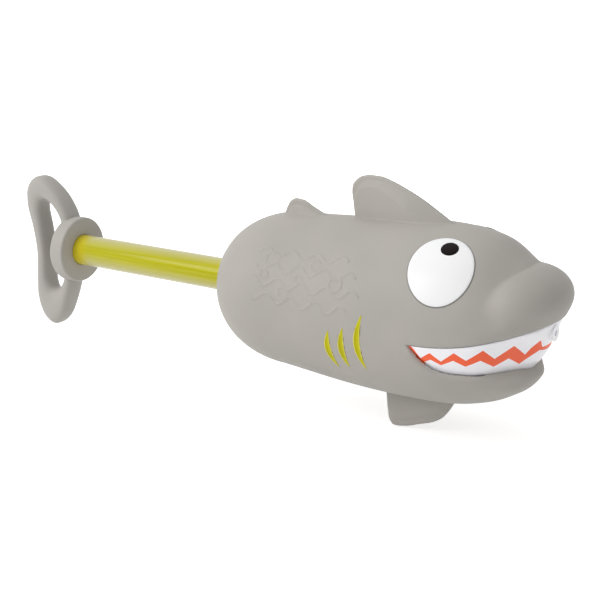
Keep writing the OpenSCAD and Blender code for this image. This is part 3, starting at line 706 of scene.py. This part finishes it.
def lime_tube():
    """Tinted clear tube: streaks along its draw, a painted sheen that pales its edges, more yellow over the
    plug.
    """
    finish = Finish("lime_tube", Sheen_Weight=0.2, Sheen_Roughness=0.4, Specular_IOR_Level=0.2)
    drawn = finish.node("Mapping")
    drawn.inputs["Scale"].default_value = (STREAK_STRETCH, 1.0, 1.0)
    finish.link(finish.place, drawn.inputs["Vector"])
    streak = finish.noise(STREAK_SCALE, place=drawn.outputs["Vector"])
    tint = finish.ramp(streak, list(zip(RAMP_ENDS, STREAK_TINTS)))
    # Painted sheen: the colour goes paler where the surface turns away from the view
    edge = finish.ramp(finish.node("LayerWeight").outputs["Facing"], EDGE_SHEEN_STOPS)
    with_edge_sheen = finish.mix(edge, tint, EDGE_SHEEN_COLOUR)
    along = finish.node("SeparateXYZ")
    finish.link(finish.place, along.inputs[0])
    fade = [(COLLAR_FRONT + d) * MM for d in END_FADE]
    end = finish.level(along.outputs["X"], fade, (1, 0))
    finish.link(finish.mix(end, with_edge_sheen, END_COLOUR), finish.shader.inputs["Base Color"])
    finish.spread(finish.noise(TUBE_ROUGH_SCALE), *TUBE_ROUGH, "Roughness")
    finish.bump(streak, STREAK_BUMP)
    return finish.material


LIME_TUBE = lime_tube()


# Rounds of settling and of evening out the skin's mesh
FIRST_ROUNDS, EVEN_ROUNDS, LAST_ROUNDS = 3, 3, 2


def body_skin():
    """The shark's moulded skin as one hollow shell."""
    margin = 2 * MESH_STEP
    lowest, highest = low("body_skin") - margin, high("body_skin") + margin
    points, quads = surface_net(body_skin_field, lowest, highest, MESH_STEP)
    points = settle(body_skin_field, points, FIRST_ROUNDS)
    points = even_out(body_skin_field, points, quads, EVEN_ROUNDS)
    points = np.clip(settle(body_skin_field, points, LAST_ROUNDS), low("body_skin"), high("body_skin"))
    normals = outward(body_skin_field, points)
    piece("shark_skin", points, quads, "shark", "grey_vinyl", [GREY_VINYL], ["body_skin"], normals=normals)


# White mouth insert with its printed zigzag. Both edges of the print are points of angle round the mouth,
# measured at INSERT_AXIS_X from straight ahead, and height. They repeat on the other side. INSERT_DEPTH
# is how far the face lies under the trunk: everywhere, more at the lower lip, and more there in front.
INSERT_DEPTH = (0.5, 3.0, 5.9)
INSERT_POWER = (4, 1.4)
INSERT_AHEAD = (-34, -6)
INSERT_WALL = 2.5
INSERT_GAP = 0.2
INSERT_TUCK = 2.5
INSERT_AXIS_X = -40.0
INSERT_END = 119.0
INSERT_TURN_STEP = 1.5
INSERT_REACH = (4.0, 90.0)
INSERT_BANDS = (5, 3, 6)
HALVINGS = 40
LIP_ROUNDS = 12
LIP_GAP_MIN = 0.5
ZIGZAG_TOP = [
    (0, -6.3), (11.5, -6.6), (17.5, -1.5), (26.3, -10.2), (41.2, -3.4), (58.6, -9.9), (68.2, -4.2),
    (80.3, -10.2), (88.3, -6.1), (97.3, -11.9), (103.7, -7.5), (110.5, -11.8), (111.4, -8.9),
    (112.7, -6.4), (114, -4.8), (119, -4),
]
ZIGZAG_LOW = [
    (0, -9.3), (8.6, -9), (13, -8.4), (29.1, -16.1), (44.7, -10.9), (58.7, -15.1), (69.9, -10.2),
    (81.1, -14), (89.1, -10.7), (98, -14.3), (103.7, -11.5), (110.4, -14.3), (111, -17), (119, -17),
]


def insert_depth(x, z):
    """How deep the insert's face lies under the trunk's surface: deeper towards the lower lip."""
    lower, upper = lips(x)
    share = np.clip((z - lower) / np.maximum(upper - lower, LIP_GAP_MIN), 0, 1)
    low_lip = INSERT_DEPTH[1] * (1 - share) ** INSERT_POWER[0]
    ahead = INSERT_DEPTH[2] * soft_step(*INSERT_AHEAD, x)
    return INSERT_DEPTH[0] + low_lip + ahead * (1 - share) ** INSERT_POWER[1]


def insert_point(turn, z, inset):
    """Point of the insert's face, or of its inside, at an angle round the mouth and a height."""
    a = np.radians(turn)
    near, far = [np.full(np.broadcast(turn, z).shape, end) for end in INSERT_REACH]
    for _ in range(HALVINGS):
        r = (near + far) / 2
        x, y = INSERT_AXIS_X + r * np.cos(a), r * np.sin(a)
        outside = trunk_distance(x, y, z) + insert_depth(x, z) + inset > 0
        far, near = np.where(outside, r, far), np.where(outside, near, r)
    return np.stack(np.broadcast_arrays(INSERT_AXIS_X + far * np.cos(a), far * np.sin(a), z), -1)


def insert_lips(turn):
    """Heights where the insert's face meets the lower and the upper lip."""
    found = []
    for k in (0, 1):
        z = np.full(turn.shape, MOUTH_CORNER_Z)
        for _ in range(LIP_ROUNDS):
            x = insert_point(turn, z, 0)[..., 0]
            z = lips(x)[k] - (INSERT_TUCK if k == 0 else INSERT_GAP)
        found.append(z)
    return found


def mouth_insert():
    """Bent strip between the lips, in three bands of which the middle one is the print."""
    corners = sorted({t for t, _ in ZIGZAG_TOP} | {t for t, _ in ZIGZAG_LOW})
    half = sorted(set(np.round(np.concatenate([np.arange(0, INSERT_END, INSERT_TURN_STEP), corners]), 3)))
    turn = np.array([-t for t in half[:0:-1]] + half)
    lower, upper = insert_lips(turn)
    size = np.abs(turn)
    bottom = np.clip(np.interp(size, *zip(*ZIGZAG_LOW)), lower, upper)
    top = np.clip(np.interp(size, *zip(*ZIGZAG_TOP)), bottom, upper)
    lines = (lower, bottom, top, upper)
    rows, kinds = [], []
    for k, (start, end, count) in enumerate(zip(lines, lines[1:], INSERT_BANDS)):
        for i in range(count):
            rows.append(start + (end - start) * i / count)
            kinds.append(int(k == 1))
    rows.append(upper)
    face = np.concatenate([insert_point(turn, z, 0) for z in rows])
    inner = np.concatenate([insert_point(turn, z, INSERT_WALL) for z in (lower, upper)])
    cols, n = len(turn), len(rows)
    faces = grid_faces(n, cols)
    kind = list(np.repeat(kinds, cols - 1))
    loop = [(n - 1) * cols, n * cols + cols, n * cols, 0]
    for start, other in zip(loop, loop[1:]):
        for c in range(cols - 1):
            faces.append((start + c, start + c + 1, other + c + 1, other + c))
            kind.append(0)
    for c, turned in ((0, True), (cols - 1, False)):
        rim = [r * cols + c for r in range(n)] + [loop[1] + c, loop[2] + c]
        faces.append(rim if turned else rim[::-1])
        kind.append(0)
    piece("mouth_face", np.concatenate([face, inner]), faces, "shark", "white_plastic",
          [WHITE_PLASTIC, TOOTH_PRINT], ["mouth_insert"], kind)


# Eyes as rings, each with a share of the oval and a height over the trunk. The dome has a height at its edge
# and a rise to its middle, the pupil a seat over the dome, a rise and a depth.
EYE_RINGS, EYE_SEGMENTS = 14, 72
EYE_DOME, EYE_DOME_SPAN = (0.35, 0.75), (0.02, 0.968)
EYE_RIM_LINE = [
    (0.978, 0.24), (0.99, 0.16), (1.0, 0.06), (1.0, -0.25), (0.93, -0.4), (0.9, -1.1), (0.02, -1.1),
]
PUPIL_RINGS, PUPIL_SEGMENTS = 10, 48
PUPIL_SPAN = (0.02, 0.99)
PUPIL_SEAT, PUPIL_RISE, PUPIL_DEPTH = 0.05, 0.6, 0.5
HEIGHT_ROUNDS, HEIGHT_SHARE = 12, 0.9


def trunk_height(points):
    """Moves points along the eye's axis onto the trunk, and returns them with the trunk's normals there."""
    out = eye_frame()[3]
    p = points.copy()
    for _ in range(HEIGHT_ROUNDS):
        p -= np.outer(trunk_distance(*p.T) * HEIGHT_SHARE, out)
    return p, outward(trunk_distance, p)


def domed_oval(centre, half, heights, segments):
    """Closed disc on the head: rings of an oval about a centre in the eye's plane, each at a share of the
    oval and a height over the trunk."""
    origin, side, up, _ = eye_frame()
    turn = np.linspace(0, 2 * np.pi, segments, endpoint=False)
    rings = []
    for share, height in heights:
        u = centre[0] + half[0] * share * np.cos(turn)
        v = centre[1] + half[1] * share * np.sin(turn)
        base, n = trunk_height(origin + np.outer(u, side) + np.outer(v, up))
        rings.append(base + height * n)
    faces = grid_faces(len(rings), segments, wrap=True, flip=True)
    last = (len(rings) - 1) * segments
    faces.append(tuple(range(segments)))
    faces.append(tuple(last + k for k in reversed(range(segments))))
    return np.concatenate(rings), faces


def dome_height(share):
    """Height of the eye's dome at a share of its oval."""
    return EYE_DOME[0] + EYE_DOME[1] * (1 - share * share)


def eyes():
    """Domed eyes with a grey band of painted shade round the edge, and a bead as the pupil of each."""
    heights = [(s, dome_height(s)) for s in np.linspace(*EYE_DOME_SPAN, EYE_RINGS)] + EYE_RIM_LINE
    # The last bands, round the eye's edge, take the painted shade
    kind = np.repeat([int(k >= EYE_RINGS - 1) for k in range(len(heights) - 1)], EYE_SEGMENTS)
    kind = np.concatenate([kind, [0, 1]])
    points, faces = domed_oval(EYE_SHIFT, EYE_HALF, heights, EYE_SEGMENTS)
    offset = [(p - e) / h for p, e, h in zip(PUPIL_SHIFT, EYE_SHIFT, EYE_HALF)]
    base = dome_height(math.hypot(*offset))
    shares = np.linspace(*PUPIL_SPAN, PUPIL_RINGS)
    bead = [(s, base + PUPIL_SEAT + PUPIL_RISE * math.sqrt(1 - s * s)) for s in shares]
    bead += [(1.0, base), (1.0, base - PUPIL_DEPTH), (PUPIL_SPAN[0], base - PUPIL_DEPTH)]
    pupil, pupil_faces = domed_oval(PUPIL_SHIFT, PUPIL_HALF, bead, PUPIL_SEGMENTS)
    for name, turn in SIDES:
        eye, eye_faces = turn(points, faces)
        piece("eyeball_" + name, eye, eye_faces, "shark", "eye_white",
              [EYE_WHITE, EYE_RIM_SHADE], ["eye_" + name], kind)
        dot, dot_faces = turn(pupil, pupil_faces)
        piece("pupil_bead_" + name, dot, dot_faces, "shark", "pupil_black", [PUPIL_BLACK], ["pupil_" + name])


# Section of a gill: share of its half width and height, the edge bands with the painted highlight, and where
# its face ends
GILL_PROFILE = [
    (-1.0, -0.12), (-0.95, 0.06), (-0.8, 0.0), (-0.6, -0.35), (-0.3, -0.6), (0.05, -0.7), (0.4, -0.55),
    (0.68, -0.25), (0.82, 0.0), (0.95, 0.06), (1.0, -0.12), (0.5, -1.3), (-0.5, -1.3),
]
GILL_HIGHLIGHT_BANDS = (0, 1, 8, 9)
GILL_FACE_SIDE, GILL_FACE_LOW = 0.9, -1
GILL_STEPS = 40


def gills():
    """Crescents of painted inlay with a raised edge that carries a painted highlight."""
    t = np.linspace(0, 1, GILL_STEPS)
    cols = len(GILL_PROFILE)
    points, faces, kind = [], [], []
    for i, (_, first, _, last, _) in enumerate(GILLS):
        middle, half = gill_line(i, t)
        angle = first + (last - first) * t
        full = half / (GILL_W / 2 + GILL_TIP)
        dipped = full * soft_step(*GILL_NARROW, half)
        rows = []
        for across, height in GILL_PROFILE:
            base = trunk_point(middle - half * across, angle)
            n = outward(trunk_distance, base)
            on_face = abs(across) < GILL_FACE_SIDE and height > GILL_FACE_LOW
            share = dipped if on_face else full
            rows.append(base + n * (GILL_LIFT + height * share)[:, None])
        start = sum(map(len, points))
        points.append(np.stack(rows, 1).reshape(-1, 3))
        strip = grid_faces(GILL_STEPS, cols, wrap=True)
        ends = [tuple(range(cols))[::-1], tuple((GILL_STEPS - 1) * cols + k for k in range(cols))]
        faces += [tuple(start + k for k in f) for f in strip + ends]
        kind += [int(k % cols in GILL_HIGHLIGHT_BANDS) for k in range(len(strip))] + [0, 0]
    points = np.concatenate(points)
    for name, turn in SIDES:
        p, f = turn(points, faces)
        piece("gill_inlays_" + name, p, f, "shark", "gill_lime",
              [GILL_LIME, GILL_EDGE_HIGHLIGHT], ["gills_" + name], kind)


# Plunger tube: wall, bevel of its ends, segments of a turned piece and the angle that counts as a sharp edge
TUBE_WALL = 1.6
TUBE_EDGE = 0.4
TURN_SEGMENTS = 96
TUBE_SHARP = 40


def plunger_tube():
    inner = TUBE_R - TUBE_WALL
    profile = [
        (TUBE_REAR + TUBE_EDGE, inner), (TUBE_REAR, inner + TUBE_EDGE), (TUBE_REAR, TUBE_R - TUBE_EDGE),
        (TUBE_REAR + TUBE_EDGE, TUBE_R), (TUBE_FRONT - TUBE_EDGE, TUBE_R), (TUBE_FRONT, TUBE_R - TUBE_EDGE),
        (TUBE_FRONT, inner + TUBE_EDGE), (TUBE_FRONT - TUBE_EDGE, inner),
    ]
    points, faces = lathe(profile, TURN_SEGMENTS)
    ring = len(points) - TURN_SEGMENTS
    for k in range(TURN_SEGMENTS):
        after = (k + 1) % TURN_SEGMENTS
        faces.append((ring + k, ring + after, after, k))
    tube = piece("rod_tube", points, faces, "plunger", "lime_plastic", [LIME_TUBE], ["plunger_tube"])
    tube.data.set_sharp_from_angle(angle=math.radians(TUBE_SHARP))


# Tail handle: pairs of points on the loop's outer and inner edge, each a share of the reach behind the
# collar's front and a share of the height over or under the axis, in percent
TAIL_OUTER = [
    (12.5, 0), (11.5, 26), (14.5, 46), (26.5, 68), (44, 86), (68.5, 100), (89, 96), (100, 78.5), (99, 56),
    (89, 21.5), (84, -9), (86, -41), (87, -71), (77, -94.5), (59, -104), (39.5, -94.5), (26.5, -73),
    (16, -47), (11.5, -22.5),
]
TAIL_INNER = [
    (28, 0), (28, 23.5), (32, 42), (42, 56), (53.5, 63.5), (62.5, 66.5), (69, 64.5), (72.5, 57.5), (73, 46),
    (68.5, 21.5), (65, -9), (66, -37.5), (64, -47.5), (60, -54.5), (53.5, -56.5), (44, -52.5), (35, -44.5),
    (29.5, -34.5), (28, -18.5),
]
TAIL_W = 15.6
TAIL_POWER = 2.6
TAIL_STEPS = 8
TAIL_SIDES = 28
COLLAR_R = 21.5
COLLAR_T = 11.0
COLLAR_ROUND = 2.4
COLLAR_EDGE = 1.4
COLLAR_ARC = 7
BORE_GAP, BORE_EDGE = 0.05, 0.5
CENTRE_R = 0.01
SCREW_HOLE_R, SCREW_FLOOR = 2.25, 2.2
HOLE_SEGMENTS = 32
HANDLE_SHARP = 38


def closed_curve(p, t):
    """Smooth closed curve through points, with the steps t between each two."""
    rows = []
    for k in range(len(p)):
        a, b, c, d = p[k - 1], p[k], p[(k + 1) % len(p)], p[(k + 2) % len(p)]
        square = 2 * a - 5 * b + 4 * c - d
        cube = 3 * b - a - 3 * c + d
        rows.append(0.5 * (2 * b + (c - a) * t + square * t**2 + cube * t**3))
    return np.concatenate(rows)


def squared_off(v):
    """Turns a sine or cosine into that of the loop's section, an oval with flatter sides."""
    return np.sign(v) * np.abs(v) ** (2 / TAIL_POWER)


def tail_loop():
    """The loop as sections across the pairs of edge points, all the way round."""
    outer, inner = [
        np.array([(COLLAR_FRONT - TAIL_REACH * s / 100, h / 100 * (TAIL_UP if h > 0 else TAIL_DOWN))
                  for s, h in line])
        for line in (TAIL_OUTER, TAIL_INNER)
    ]
    t = np.linspace(0, 1, TAIL_STEPS, endpoint=False)[:, None]
    o, i = closed_curve(outer, t), closed_curve(inner, t)
    o[:, 0] = np.maximum(o[:, 0], COLLAR_FRONT - TAIL_REACH)
    turn = np.linspace(0, 2 * np.pi, TAIL_SIDES, endpoint=False)
    across, deep = squared_off(np.cos(turn)), squared_off(np.sin(turn))
    p = (o + i)[:, None] / 2 + (o - i)[:, None] / 2 * across[None, :, None]
    y = np.broadcast_to(TAIL_W / 2 * deep, p.shape[:2])
    points = np.stack([p[..., 0], y, p[..., 1]], -1).reshape(-1, 3)
    n = len(o)
    faces = []
    for r in range(n):
        for c in range(TAIL_SIDES):
            q, s = (c + 1) % TAIL_SIDES, (r + 1) % n
            faces.append((r * TAIL_SIDES + c, s * TAIL_SIDES + c, s * TAIL_SIDES + q, r * TAIL_SIDES + q))
    return points, faces


def collar():
    """Round collar of the loop with the bore for the tube."""
    arc = np.radians(np.linspace(0, 90, COLLAR_ARC))
    front = COLLAR_FRONT
    back = front - COLLAR_T
    core = COLLAR_R - COLLAR_ROUND
    bore = TUBE_R + BORE_GAP
    profile = [(back, CENTRE_R)]
    profile += [(back + COLLAR_ROUND * (1 - math.cos(a)), core + COLLAR_ROUND * math.sin(a)) for a in arc]
    flat = COLLAR_R - COLLAR_EDGE
    profile += [(front - COLLAR_EDGE * (1 - math.sin(a)), flat + COLLAR_EDGE * math.cos(a)) for a in arc]
    profile += [(front, bore + BORE_EDGE), (front - BORE_EDGE, bore)]
    profile += [(TUBE_REAR, bore), (TUBE_REAR, CENTRE_R)]
    return closed(*lathe(profile, TURN_SEGMENTS), TURN_SEGMENTS)


def cut_tool(name, points, faces):
    """A plain mesh that a piece is joined with or cut by."""
    return added(name, mesh_of(name, points, faces))


def combine(obj, tool, operation):
    """Joins a tool mesh to a piece, or cuts it out, and removes the tool."""
    step = obj.modifiers.new(operation, "BOOLEAN")
    step.operation, step.solver, step.object = operation, "EXACT", tool
    bpy.context.view_layer.update()
    mesh = bpy.data.meshes.new_from_object(obj.evaluated_get(bpy.context.evaluated_depsgraph_get()))
    obj.modifiers.clear()
    obj.data = mesh
    bpy.data.objects.remove(tool)


def tail_handle():
    """The loop joined with its collar, and the hole of the screw that holds it."""
    handle = piece("tail_grip", *tail_loop(), "plunger", "grey_plastic", [GREY_PLASTIC], ["tail_handle"])
    combine(handle, cut_tool("collar", *collar()), "UNION")
    hole = [(COLLAR_FRONT - TAIL_REACH / 2, SCREW_HOLE_R), (TUBE_REAR - SCREW_FLOOR, SCREW_HOLE_R)]
    hole = closed(*lathe(hole, HOLE_SEGMENTS), HOLE_SEGMENTS)
    combine(handle, cut_tool("screw_hole", *hole), "DIFFERENCE")
    handle.data.shade_smooth()
    handle.data.set_sharp_from_angle(angle=math.radians(HANDLE_SHARP))


body_skin()
mouth_insert()
eyes()
gills()
plunger_tube()
tail_handle()

# Finishes of the CAD pieces that stay as they are
CAD_FINISH = [
    (WHITE_PLASTIC, ["nozzle_tip", "rod_bush"]),
    (NATURAL_PLASTIC, ["barrel", "front_cap", "piston"]),
    (SEAL_RUBBER, ["nozzle_seal", "front_cap_seal", "piston_seal_front", "piston_seal_rear"]),
    (GREY_PLASTIC, ["rear_cap"]),
    (SCREW_STEEL, ["rear_cap_screws", "piston_pin", "handle_screw"]),
    (LIME_PLUG, ["tube_plug"]),
]
for material, nodes in CAD_FINISH:
    for node in nodes:
        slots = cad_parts[node].data.materials
        slots.clear()
        slots.append(material)

# Camera at the photograph's angle
LENS_MM, SENSOR_MM = 80.0, 36.0
CAMERA_AZIMUTH, CAMERA_ELEVATION = 33.0, 16.3
CLIP_RANGE = (0.01, 50)
CAMERA_PLACE = Vector((255.607, -645.434, 217.419)) * MM


def camera():
    a, e = math.radians(CAMERA_AZIMUTH), math.radians(CAMERA_ELEVATION)
    right = Vector((math.cos(a), math.sin(a), 0))
    back = Vector((math.sin(a) * math.cos(e), -math.cos(a) * math.cos(e), math.sin(e)))
    up = back.cross(right)
    data = bpy.data.cameras.new("camera")
    data.lens, data.sensor_width, data.sensor_fit = LENS_MM, SENSOR_MM, "HORIZONTAL"
    data.clip_start, data.clip_end = CLIP_RANGE
    obj = added("camera", data)
    axes = Matrix((right, up, back)).transposed().to_4x4()
    obj.matrix_world = Matrix.Translation(CAMERA_PLACE) @ axes
    bpy.context.scene.camera = obj


# Studio, in metres and watts: place, size and power of each lamp, light from behind and from ahead, and the
# floor with its glow, which rises with the distance, and the light that it throws back
AIM = Vector((-0.15, 0, 0))
LAMPS = {
    "key": ((-1.0, -1.4, 1.1), 1.2, 14.5),
    "top": ((-0.6, 0.1, 1.8), 1.4, 5.5),
}
WORLD_LIGHT = (0.68, 0.4)
WHITE = (1, 1, 1, 1)
FLOOR_SIZE = 12.0
FLOOR_COLOUR, FLOOR_ROUGH = (0.85, 0.85, 0.85, 1), 0.9
FLOOR_GLOW, GLOW_RANGE = (0.58, 1.0), (0.35, 1.1)
FLOOR_BOUNCE = 0.08


def seen_directly(tree):
    """Factor that is 1 for camera, glossy and transmission rays."""
    path = tree.nodes.new("ShaderNodeLightPath")
    rays = [path.outputs[k] for k in ("Is Camera Ray", "Is Glossy Ray", "Is Transmission Ray")]
    total = rays[0]
    for ray in rays[1:]:
        most = tree.nodes.new("ShaderNodeMath")
        most.operation = "MAXIMUM"
        tree.links.new(total, most.inputs[0])
        tree.links.new(ray, most.inputs[1])
        total = most.outputs[0]
    return total


def studio():
    """Soft lamps and a world that is plain white to the camera."""
    for name, (place, size, power) in LAMPS.items():
        data = bpy.data.lights.new(name, "AREA")
        data.shape, data.size, data.energy = "DISK", size, power
        lamp = added(name, data)
        lamp.location = place
        lamp.rotation_mode = "QUATERNION"
        lamp.rotation_quaternion = (AIM - Vector(place)).to_track_quat("-Z", "Y")
    world = bpy.data.worlds.new("studio")
    bpy.context.scene.world = world
    world.use_nodes = True
    tree = world.node_tree
    light = tree.nodes["Background"]
    light.inputs["Color"].default_value = WHITE
    facing = tree.nodes.new("ShaderNodeTexCoord")
    along = tree.nodes.new("ShaderNodeSeparateXYZ")
    tree.links.new(facing.outputs["Generated"], along.inputs[0])
    level = tree.nodes.new("ShaderNodeMapRange")
    set_range(level, (-1, 1), WORLD_LIGHT)
    tree.links.new(along.outputs["X"], level.inputs["Value"])
    tree.links.new(level.outputs["Result"], light.inputs["Strength"])
    white = tree.nodes.new("ShaderNodeBackground")
    white.inputs["Color"].default_value = WHITE
    mix = tree.nodes.new("ShaderNodeMixShader")
    tree.links.new(seen_directly(tree), mix.inputs["Fac"])
    tree.links.new(light.outputs[0], mix.inputs[1])
    tree.links.new(white.outputs[0], mix.inputs[2])
    tree.links.new(mix.outputs[0], tree.nodes["World Output"].inputs["Surface"])


def floor():
    """White floor under the shark that glows towards its edges."""
    mesh = bpy.data.meshes.new("floor")
    s, z = FLOOR_SIZE / 2, FLOOR_Z * MM
    mesh.from_pydata([(-s, -s, z), (s, -s, z), (s, s, z), (-s, s, z)], [], [(0, 1, 2, 3)])
    finish = Finish("floor_white", Roughness=FLOOR_ROUGH, Base_Color=FLOOR_COLOUR)
    tree = finish.tree
    far = finish.node("VectorMath", operation="LENGTH")
    finish.link(finish.place, far.inputs[0])
    level = finish.level(far.outputs["Value"], GLOW_RANGE, FLOOR_GLOW)
    glow = finish.node("Emission")
    finish.link(level, glow.inputs["Strength"])
    dark = finish.node("Emission")
    dark.inputs["Strength"].default_value = FLOOR_BOUNCE
    pick = finish.node("MixShader")
    finish.link(seen_directly(tree), pick.inputs["Fac"])
    finish.link(dark.outputs[0], pick.inputs[1])
    finish.link(glow.outputs[0], pick.inputs[2])
    both = finish.node("AddShader")
    finish.link(finish.shader.outputs[0], both.inputs[0])
    finish.link(pick.outputs[0], both.inputs[1])
    finish.link(both.outputs[0], tree.nodes["Material Output"].inputs["Surface"])
    mesh.materials.append(finish.material)
    obj = added("floor", mesh)


camera()
studio()
floor()
bpy.context.scene.view_settings.view_transform = "Standard"
